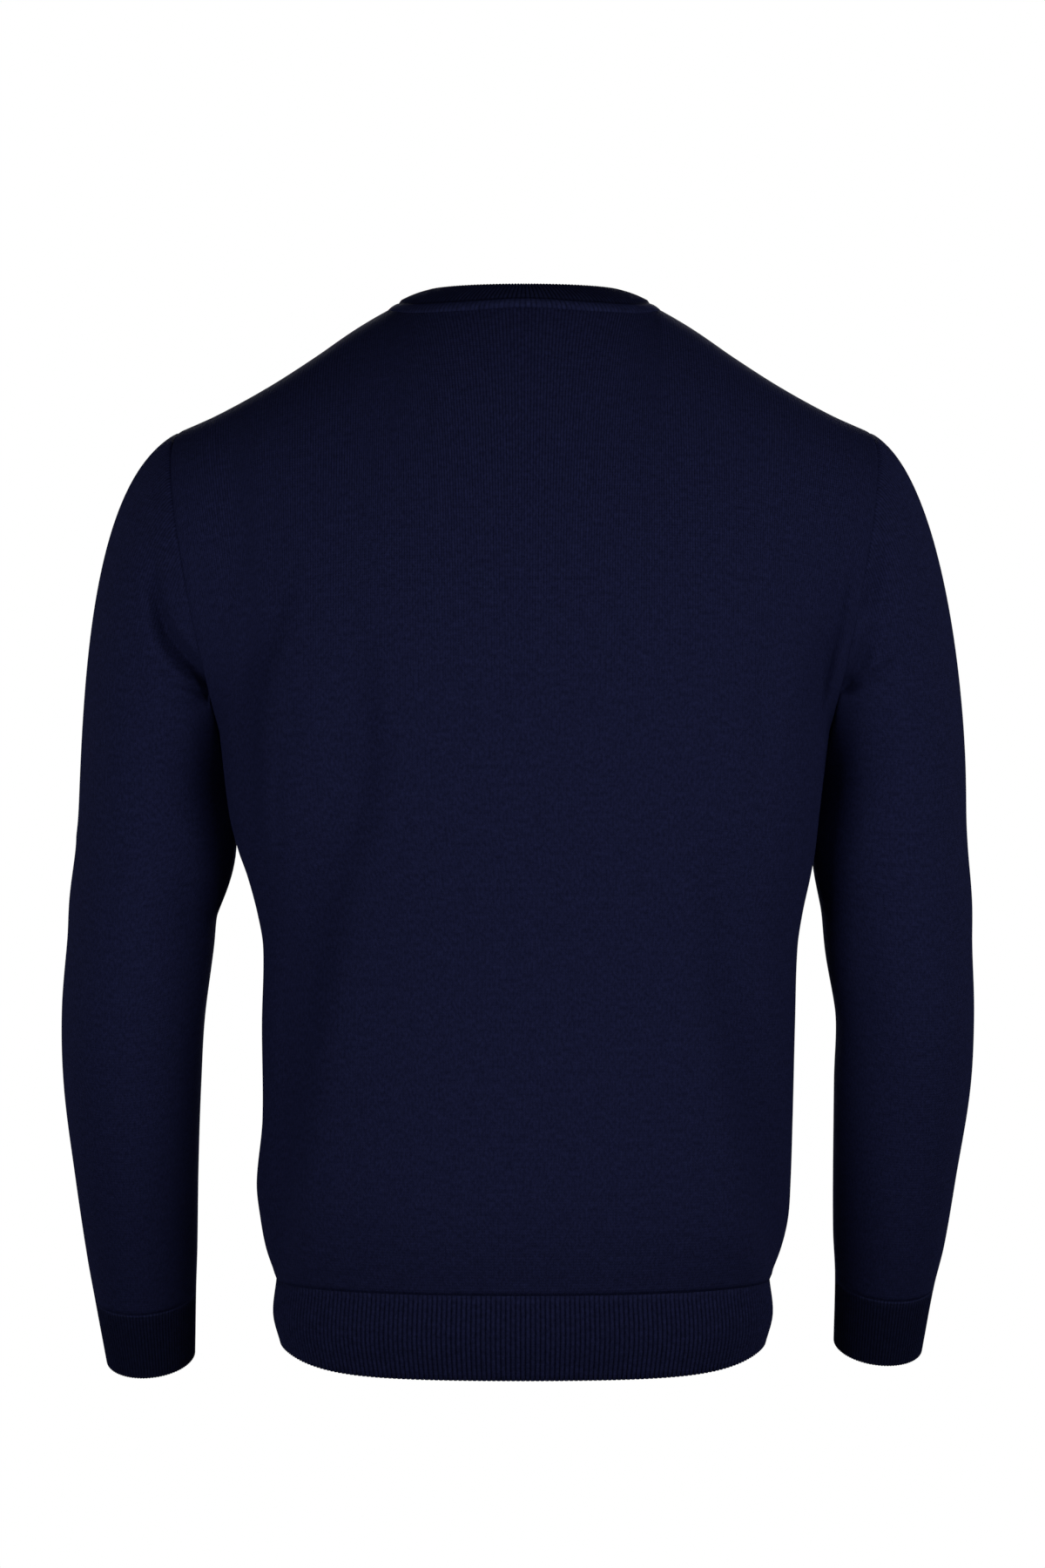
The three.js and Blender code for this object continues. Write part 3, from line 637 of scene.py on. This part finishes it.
def cashmere(name, colour, wale, groove, relief, painted_shading, slack=0, rolled=NO_ROLL):
    """Fine cashmere knit, spun from fibres dyed slightly different navies: short flecks of lighter
    and darker blue, upright wales of V stitches, and a soft nap that takes the shine off. The two
    shading factors are painted shade in a groove and painted light on a wale's top, and "slack" is
    the share of the grooves' depth and painted shade that is lost where the cloth hangs loose. The
    first "rolled" millimetres are a plain roll painted paler as light, as wide as the stitches that
    are picked up."""
    material = bpy.data.materials.get(name)
    if material:
        return material
    material = bpy.data.materials.new(name)
    material.use_nodes = True
    tree = material.node_tree
    tree.nodes.clear()
    maths, spread, noise = "ShaderNodeMath", "ShaderNodeMapRange", "ShaderNodeTexNoise"

    # Where a point lies on the cloth: in its wale, up its stitches and on the body.
    place = add_node(tree, "ShaderNodeUVMap", uv_map="cloth")
    split = add_node(tree, "ShaderNodeSeparateXYZ", [place])
    wales = add_node(tree, maths, [split, 1 / wale], operation="MULTIPLY")
    inside = add_node(tree, maths, [wales], operation="FRACT")
    centred = add_node(tree, maths, [inside, 0.5], operation="SUBTRACT")
    from_middle = add_node(tree, maths, [centred], operation="ABSOLUTE")
    squared = add_node(tree, maths, [from_middle, 2.0], operation="POWER")
    courses = [split.outputs[1], 2 * math.pi / COURSE]
    upward = add_node(tree, maths, courses, operation="MULTIPLY")
    slanted = add_node(tree, maths, [from_middle, CHEVRON, upward], operation="MULTIPLY_ADD")
    stitch = add_node(tree, maths, [slanted], operation="SINE")
    body = add_node(tree, "ShaderNodeTexCoord").outputs["Object"]
    height = add_node(tree, "ShaderNodeSeparateXYZ", [body]).outputs[2]
    low, high = STRETCH
    shown = add_node(tree, spread, [height, low * MM, high * MM, 1.0 - slack, 1.0])

    # Relief: grooves between the wales, where the squared distance is a quarter, then the
    # stitches, then the nap.
    grooved = add_node(tree, maths, [squared, shown], operation="MULTIPLY")
    wale_form = add_node(tree, maths, [grooved, -4.0 * groove, 1.0], operation="MULTIPLY_ADD")
    knit_parts = [stitch, STITCH_RELIEF, wale_form]
    knit_form = add_node(tree, maths, knit_parts, operation="MULTIPLY_ADD")
    soft = {"Detail": NAP_DETAIL, "Roughness": FIBRE_ROUGHNESS}
    nap = add_node(tree, noise, {"Vector": place, "Scale": NAP_SCALE, **soft})
    nap_form = add_node(tree, maths, [nap, NAP_RELIEF, knit_form], operation="MULTIPLY_ADD")
    relieved = {"Height": nap_form, "Strength": 1.0, "Distance": relief * MM}
    bump = add_node(tree, "ShaderNodeBump", relieved)

    # Colour: flecks of single fibres, wider patches, grooves painted darker as shade and wale tops
    # painted paler as light, and the roll painted paler as light.
    soft = {"Detail": TONE_DETAIL, "Roughness": FIBRE_ROUGHNESS}
    upright = add_node(tree, "ShaderNodeMapping", {"Vector": place, "Scale": FLECK_STRETCH})
    flecks = add_node(tree, noise, {"Vector": upright, "Scale": FLECK_SCALE, **soft})
    fleck_tone = add_node(tree, spread, [flecks, *FLECK_RANGE, *FLECK_TONES])
    level = add_node(tree, "ShaderNodeMapping", {"Vector": place, "Scale": PATCH_STRETCH})
    patches = add_node(tree, noise, {"Vector": level, "Scale": PATCH_SCALE, **soft})
    patch_tone = add_node(tree, spread, [patches, *PATCH_RANGE, *PATCH_TONES])
    # Painted shade in the grooves and painted light on the wales' tops, less where the cloth hangs
    # loose.
    change = add_node(tree, spread, [squared, *GROOVE_SHADING_RANGE, painted_shading[1] - 1, painted_shading[0] - 1])
    painted_wale_shading = add_node(tree, maths, [change, shown, 1.0], operation="MULTIPLY_ADD")
    # Painted light: the first millimetres of the cloth, on the rolled edge, are painted paler.
    roll = [split.outputs[1], rolled, rolled + ROLL_EDGE, 1.0 + ROLL_LIGHT, 1.0]
    tone = add_node(tree, maths, [fleck_tone, patch_tone], operation="MULTIPLY")
    tone = add_node(tree, maths, [tone, painted_wale_shading], operation="MULTIPLY")
    tone = add_node(tree, maths, [tone, add_node(tree, spread, roll)], operation="MULTIPLY")
    dye = {0: linear(colour), "Scale": tone}
    dyed = add_node(tree, "ShaderNodeVectorMath", dye, operation="SCALE")
    finish = {
        "Base Color": dyed,
        "Roughness": 0.95,
        "Specular IOR Level": 0.05,  # loose fibres scatter light and hardly mirror it
        "Sheen Weight": 0.06,
        "Sheen Roughness": 0.5,
        "Sheen Tint": (*linear(NAP_SHEEN), 1),
        "Normal": bump,
    }
    surface = add_node(tree, "ShaderNodeBsdfPrincipled", finish)
    add_node(tree, "ShaderNodeOutputMaterial", [surface])
    return material


def plain_knit(sizes):
    """Plain stitch: smooth upright wales, their grooves painted darker as shade and their tops
    paler as light. Over the shoulders the cloth is stretched and they stand out more."""
    return cashmere(
        "cashmere_plain_knit",
        sizes.knit_colour,
        wale=sizes.wale / MM,
        groove=0.8,
        relief=0.35,
        painted_shading=(0.52, 1.16),
        slack=0.85,
    )


def rib_knit(name, colour, rolled=NO_ROLL):
    """Rib stitch: the ribs are formed in the mesh; their grooves are painted darker as shade."""
    return cashmere(
        "cashmere_" + name,
        colour,
        wale=RIB_WIDTH,
        groove=0.2,
        relief=0.25,
        painted_shading=(0.5, 1.08),
        rolled=rolled,
    )


# ---- The user's sizes ----
class SweaterCloth(bpy.types.PropertyGroup):
    """Sizes and colours of the knitted cloth"""

    cloth: bpy.props.FloatProperty(
        name="Cloth", description="Thickness of the plain knit", default=1.6 * MM, unit="LENGTH"
    )
    rib_cloth: bpy.props.FloatProperty(
        name="Rib cloth",
        description="Thickness of the ribbed bands",
        default=2.2 * MM,
        unit="LENGTH",
    )
    rib_relief: bpy.props.FloatProperty(
        name="Rib relief",
        description="From the top of a rib to the groove beside it",
        default=1.2 * MM,
        unit="LENGTH",
    )
    wale: bpy.props.FloatProperty(
        name="Wale",
        description="Width of a column of plain stitches, across the middle of a piece",
        default=1.6 * MM,
        unit="LENGTH",
    )
    knit_colour: bpy.props.StringProperty(
        name="Knit colour", description="Colour of the plain knit, as sRGB hex", default="1b1e3c"
    )
    # Painted shade: the hem's ribs are painted a little darker than the plain knit, for the shade
    # in their grooves.
    rib_colour: bpy.props.StringProperty(
        name="Rib colour", description="Colour of the hem's ribs, as sRGB hex", default="1a1d3a"
    )
    # Painted shade: the ribs of cuffs and neckband are the hem's yarn, painted darker for the shade
    # in their deeper grooves and on bands turned away from the light.
    shaded_rib_colour: bpy.props.StringProperty(
        name="Close rib colour",
        description="Colour of the ribs on cuffs and neckband, as sRGB hex",
        default="14172f",
    )


class SweaterStudio(bpy.types.PropertyGroup):
    """The studio round the sweater"""

    camera_distance: bpy.props.FloatProperty(
        name="Camera distance", description="From the sweater's middle", default=2.8, unit="LENGTH"
    )
    camera_height: bpy.props.FloatProperty(
        name="Camera height", description="Against the neck", default=-0.29865, unit="LENGTH"
    )
    floor_height: bpy.props.FloatProperty(
        name="Floor height", description="Against the neck", default=-1.42, unit="LENGTH"
    )
    floor_colour: bpy.props.StringProperty(
        name="Floor colour", description="Colour of the floor, as sRGB hex", default="f2f2f2"
    )
    light_power: bpy.props.FloatProperty(
        name="Light power",
        description="Of a soft light whose share is 1",
        default=3.15,
        unit="POWER",
    )


# ---- The pieces ----
class SWEATER_OT_panels(bpy.types.Operator):
    """Knit the back and the front"""

    bl_idname = "sweater.panels"
    bl_label = "Back and front"

    def execute(self, context):
        sizes = context.scene.sweater_cloth
        turns = closer_at_ends(*PANEL_COLUMNS) * 2 - 1
        body = np.linspace(0, 1, BODY_ROWS)
        yoke = 1 + closer_at_ends(*YOKE_ROWS)[1:]
        for name, panel in PANELS.items():
            face = panel["face"]

            def form(low_turn, height, name=name, face=face):
                inner = np.clip(low_turn / NECK_TURN, -1, 1)
                eased = np.where(
                    np.abs(inner) < 1, NECK_TURN * np.sin(inner * math.pi / 2), low_turn
                )
                rise = np.maximum(height - 1, 0)
                turn = mix(low_turn, eased, rise**3)
                level = np.minimum(height, 1) + rise * (top_level(name, turn) - 1)
                place = panel_point(name, turn, level)
                free = np.sin(np.clip((1 - np.abs(turn)) / SEAM_HOLD, 0, 1) * math.pi / 2)
                place[..., 1] -= face * free * crease_depth(place, BODY_CREASES[name])
                return place

            def lift(turn, height, place, wide, high):
                from_side = np.minimum(wide, wide[:, -1:] - wide)
                full, middle, width = HEM_PUFF
                puff = full * np.exp(-(((high - middle) / width) ** 2))
                return puff - seam_dip(np.minimum(from_side, high[-1:] - high), place)

            piece = make_cloth(
                "knit_" + name,
                turns * -face,
                np.concatenate([body, yoke]),
                form,
                lift,
                sizes.cloth / MM,
            )
            finish_piece(piece, plain_knit(sizes), name)
        return {"FINISHED"}


class SWEATER_OT_sleeves(bpy.types.Operator):
    """Knit both sleeves"""

    bl_idname = "sweater.sleeves"
    bl_label = "Sleeves"

    def execute(self, context):
        sizes = context.scene.sweater_cloth
        cap = closer_at_ends(*CAP_ROWS)[:-1]
        for name, sleeve in SLEEVES.items():
            top = sleeve["rows"][0][0]
            tube = np.linspace(1, 1 + (top - sleeve["cuff_seam"]) / LEVEL_LENGTH, TUBE_ROWS)

            def form(around, level, sleeve=sleeve, creases=SLEEVE_CREASES[name]):
                place = sleeve_point(sleeve, around, level)
                turned = FACE_SHARE * np.sin(2 * math.pi * around)
                behind = crease_depth(place, creases["back"]) * np.clip(turned, 0, 1)
                before = crease_depth(place, creases["front"]) * np.clip(-turned, 0, 1)
                place[..., 1] += (before - behind) * np.clip(level / CAP_HOLD, 0, 1)
                return place

            def lift(around, level, place, wide, high):
                return -seam_dip(high, place)

            piece = make_cloth(
                "knit_" + name + "_sleeve",
                gathered(*SLEEVE_COLUMNS)[:: -sleeve["side"]],
                np.concatenate([cap, tube]),
                form,
                lift,
                sizes.cloth / MM,
                is_ring=True,
                level_row=-1,
            )
            finish_piece(piece, plain_knit(sizes), name + "_sleeve")
        return {"FINISHED"}


class SWEATER_OT_hem(bpy.types.Operator):
    """Knit the hem rib"""

    bl_idname = "sweater.hem"
    bl_label = "Hem rib"

    def execute(self, context):
        sizes = context.scene.sweater_cloth
        relief = sizes.rib_relief / MM
        ribs = HEM_RIBS // 2
        count = np.linspace(0, ribs, ribs * RIB_STEPS + 1)
        foot, middle, top = (row[0] for row in HEM)
        for name, panel in PANELS.items():
            face = panel["face"]

            def form(turn, height, face=face):
                return hem_point(face, turn, height)

            def lift(turn, height, place, wide, high):
                return relief * (rib_height(count) - 1) * np.clip((top - height) / RIB_START, 0, 1)

            def edge(share, face=face):
                return hem_point(face, (share * 2 - 1) * -face, np.full(share.shape, middle))

            piece = make_cloth(
                "rib_" + name + "_hem",
                (even_steps(edge, ribs * RIB_STEPS) * 2 - 1) * -face,
                np.linspace(foot, top, BAND_ROWS),
                form,
                lift,
                sizes.rib_cloth / MM,
                ribs=count,
            )
            material = rib_knit("hem_rib", sizes.rib_colour)
            finish_piece(piece, material, name + "_hem_rib")
        return {"FINISHED"}


class SWEATER_OT_cuffs(bpy.types.Operator):
    """Knit both cuffs"""

    bl_idname = "sweater.cuffs"
    bl_label = "Cuffs"

    def execute(self, context):
        sizes = context.scene.sweater_cloth
        relief = CLOSE_RIB * sizes.rib_relief / MM
        count = np.linspace(0, CUFF_RIBS, CUFF_RIBS * RIB_STEPS + 1)
        for name, sleeve in SLEEVES.items():
            top, foot = sleeve["cuff_seam"], sleeve["rows"][-1][0]

            def form(around, height, sleeve=sleeve):
                return tube_point(sleeve, around, height)

            def lift(around, height, place, wide, high):
                return relief * (rib_height(count) - 1) * np.clip(high / RIB_START, 0, 1)

            def edge(share, sleeve=sleeve, top=top):
                return tube_point(sleeve, share, np.full(share.shape, top))

            piece = make_cloth(
                "rib_" + name + "_cuff",
                even_steps(edge, CUFF_RIBS * RIB_STEPS)[:: -sleeve["side"]],
                np.linspace(top, foot, BAND_ROWS),
                form,
                lift,
                sizes.rib_cloth / MM,
                is_ring=True,
                ribs=count,
            )
            # The cuffs' ribs are painted darker as shade.
            material = rib_knit("cuff_rib", sizes.shaded_rib_colour, CUFF_ROLL)
            finish_piece(piece, material, name + "_cuff")
        return {"FINISHED"}


class SWEATER_OT_neckband(bpy.types.Operator):
    """Knit the neckband"""

    bl_idname = "sweater.neckband"
    bl_label = "Neckband"

    def execute(self, context):
        sizes = context.scene.sweater_cloth
        relief = CLOSE_RIB * sizes.rib_relief / MM
        count = np.linspace(0, NECK_RIBS, NECK_RIBS * RIB_STEPS + 1)
        bead = np.linspace(BEAD_START, BEAD_END, BEAD_ROWS)
        band = np.linspace(BEAD_END, 1, NECK_ROWS)[1:]

        def lift(around, across, place, wide, high):
            share = np.clip((across - BEAD_START) / (BEAD_END - BEAD_START), 0, 1)
            full = mix(BEAD_HEIGHT["side"], BEAD_HEIGHT["back"], np.sin(2 * math.pi * around) ** 2)
            ribbed = np.clip((across - BEAD_END) / BAND_RISE, 0, 1)
            ribs = (BAND_LIFT + relief * (rib_height(count) - 1)) * ribbed
            return full * np.sqrt(np.sin(math.pi * share)) + ribs

        def middle(share):
            return neckband_point(share, np.full(share.shape, 0.5))

        piece = make_cloth(
            "rib_neckband",
            even_steps(middle, NECK_RIBS * RIB_STEPS),
            np.concatenate([bead, band]),
            neckband_point,
            lift,
            sizes.rib_cloth / MM,
            is_ring=True,
            ribs=count,
        )
        # The neckband's ribs are painted darker as shade.
        material = rib_knit("neck_rib", sizes.shaded_rib_colour, NECK_ROLL)
        finish_piece(piece, material, "neckband")
        return {"FINISHED"}


class SWEATER_OT_studio(bpy.types.Operator):
    """Set the camera, the floor and the lights"""

    bl_idname = "sweater.studio"
    bl_label = "Studio"

    def execute(self, context):
        scene, studio = context.scene, context.scene.sweater_studio
        camera_data = bpy.data.cameras.new("camera")
        camera_data.lens = LENS
        camera_data.sensor_width = SENSOR_WIDTH
        camera = bpy.data.objects.new("camera", camera_data)
        camera.location = (CAMERA_ACROSS, studio.camera_distance, studio.camera_height)
        camera.rotation_euler = (math.pi / 2, 0, math.pi)
        scene.collection.objects.link(camera)
        scene.camera = camera

        floor_mesh = bpy.data.meshes.new("floor")
        disc = bmesh.new()
        bmesh.ops.create_circle(disc, cap_ends=True, segments=FLOOR_CORNERS, radius=FLOOR_RADIUS)
        bmesh.ops.translate(disc, verts=disc.verts, vec=(0, 0, studio.floor_height))
        disc.to_mesh(floor_mesh)
        disc.free()
        floor = bpy.data.objects.new("floor", floor_mesh)
        scene.collection.objects.link(floor)
        paint = bpy.data.materials.new("matt_floor_paint")
        paint.use_nodes = True
        surface = paint.node_tree.nodes["Principled BSDF"]
        surface.inputs["Base Color"].default_value = (*linear(studio.floor_colour), 1)
        surface.inputs["Roughness"].default_value = 0.9
        floor_mesh.materials.append(paint)
        floor.visible_diffuse = False  # so that it throws no light up at the cloth

        for place, target, share in LIGHTS:
            soft = bpy.data.lights.new("soft_light", "AREA")
            soft.shape = "RECTANGLE"
            soft.size, soft.size_y = LIGHT_SIZE
            soft.energy = studio.light_power * share
            lamp = bpy.data.objects.new("soft_light", soft)
            lamp.location = place
            aim = Vector(target) - lamp.location
            lamp.rotation_euler = aim.to_track_quat("-Z", "Y").to_euler()
            scene.collection.objects.link(lamp)

        world = bpy.data.worlds.new("studio")
        world.use_nodes = True
        tree = world.node_tree
        tree.nodes.clear()
        ray = add_node(tree, "ShaderNodeLightPath")
        fill = add_node(tree, "ShaderNodeBackground", [(1, 1, 1, 1), FILL])
        white = add_node(tree, "ShaderNodeBackground", [(1, 1, 1, 1), 1.0])
        seen = add_node(tree, "ShaderNodeMixShader", [ray.outputs["Is Camera Ray"], fill, white])
        add_node(tree, "ShaderNodeOutputWorld", [seen])
        scene.world = world
        scene.view_settings.view_transform = "Standard"
        return {"FINISHED"}


class SWEATER_PT_tools(bpy.types.Panel):
    """The sweater's tools in the sidebar"""

    bl_label = "Sweater"
    bl_space_type = "VIEW_3D"
    bl_region_type = "UI"
    bl_category = "Sweater"

    def draw(self, context):
        layout = self.layout
        for group in (context.scene.sweater_cloth, context.scene.sweater_studio):
            box = layout.box()
            for name in group.__annotations__:
                box.prop(group, name)
        for operator in OPERATORS:
            layout.operator(operator.bl_idname)


OPERATORS = (
    SWEATER_OT_studio,
    SWEATER_OT_panels,
    SWEATER_OT_sleeves,
    SWEATER_OT_hem,
    SWEATER_OT_cuffs,
    SWEATER_OT_neckband,
)
CLASSES = (SweaterCloth, SweaterStudio, *OPERATORS, SWEATER_PT_tools)


def register():
    for cls in CLASSES:
        bpy.utils.register_class(cls)
    bpy.types.Scene.sweater_cloth = bpy.props.PointerProperty(type=SweaterCloth)
    bpy.types.Scene.sweater_studio = bpy.props.PointerProperty(type=SweaterStudio)


def unregister():
    del bpy.types.Scene.sweater_studio
    del bpy.types.Scene.sweater_cloth
    for cls in reversed(CLASSES):
        bpy.utils.unregister_class(cls)


def main():
    register()
    bpy.ops.sweater.studio()
    bpy.ops.sweater.panels()
    bpy.ops.sweater.sleeves()
    bpy.ops.sweater.hem()
    bpy.ops.sweater.cuffs()
    bpy.ops.sweater.neckband()


if __name__ == "__main__":
    main()
